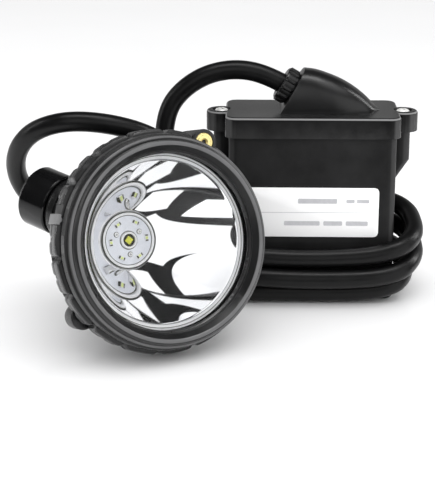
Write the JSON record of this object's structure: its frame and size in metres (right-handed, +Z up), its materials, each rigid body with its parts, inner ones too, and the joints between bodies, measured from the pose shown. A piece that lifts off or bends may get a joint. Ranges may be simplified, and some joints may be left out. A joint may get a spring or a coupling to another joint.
{
  "type": "miner's cap lamp",
  "caption": "Corded miner's cap lamp: round lamp head with deep reflector, rotary switch knob and cap hook, belt battery pack with the cable wound round it.",
  "frame": {"origin": "centre of the battery pack's bottom face, on the surface that the lamp stands on", "axes": "+Z up; +Y from the label face towards the belt side of the pack; +X to the right when looking at the label"},
  "size_m": [0.1823, 0.1406, 0.1053],
  "materials": {
    "black_case": "satin black moulded ABS/PC, fine texture",
    "black_gloss": "smooth glossy black moulded plastic",
    "bezel_plastic": "satin dark grey-black engineering plastic with a turned front bead",
    "black_rubber": "satin black rubber cable sheath and seals",
    "lens_clear": "clear polycarbonate or toughened glass front lens",
    "reflector_chrome": "vacuum-metallised mirror",
    "board_white": "white solder mask",
    "led_phosphor": "yellow phosphor under clear silicone",
    "bright_steel": "zinc plated or stainless screws and shaft",
    "contact_brass": "turned brass",
    "aluminium": "machined aluminium",
    "circuit_green": "green solder mask on fibreglass board",
    "chip_black": "moulded semiconductor packages and switch body",
    "cell_wrap": "shrink wrapped lithium cells",
    "cradle_plastic": "natural white plastic",
    "label_white": null
  },
  "bodies": {
    "lamp": {"aux_leds": "led_phosphor", "battery_case": "black_case", "battery_cells": "cell_wrap", "battery_lid": "black_case", "belt_bridge": "black_case", "bezel_ring": "bezel_plastic", "board_chips": "chip_black", "board_posts": "aluminium", "board_ring": "board_white", "board_screws": "bright_steel", "bridge_screws": "bright_steel", "cable_coil": "black_rubber", "cable_gland_loop": "black_rubber", "cable_head_loop": "black_rubber", "cable_hood": "black_gloss", "cable_seal": "black_rubber", "cap_hook": "black_case", "cell_cradle": "cradle_plastic", "cell_strip": "aluminium", "charge_contact": "contact_brass", "control_board": "circuit_green", "driver_chips": "chip_black", "front_lens": "lens_clear", "gland_nut": "black_gloss", "head_boot": "black_rubber", "head_gland_nut": "black_gloss", "head_housing": "black_gloss", "hook_screws": "bright_steel", "housing_seal": "black_rubber", "knob_seal": "black_rubber", "label_plate": "label_white", "led_board": "board_white", "led_heat_sink": "aluminium", "lens_gasket": "black_rubber", "lid_gasket": "black_rubber", "lid_screws": "bright_steel", "lock_tab": "bezel_plastic", "main_led": "led_phosphor", "main_led_ring": "board_white", "protection_board": "circuit_green", "reflector": "reflector_chrome", "rotary_switch": "chip_black"},
    "knob": {"switch_knob": "black_gloss", "knob_shaft": "bright_steel"}
  },
  "joints": [
    {"name": "switch_turn", "type": "hinge", "parent": "lamp", "child": "knob", "pos_m": [-0.10531, -0.04728, 0.05121], "axis": [-0.8189, 0.5483, 0.1695], "range_deg": [0, 120]}
  ]
}
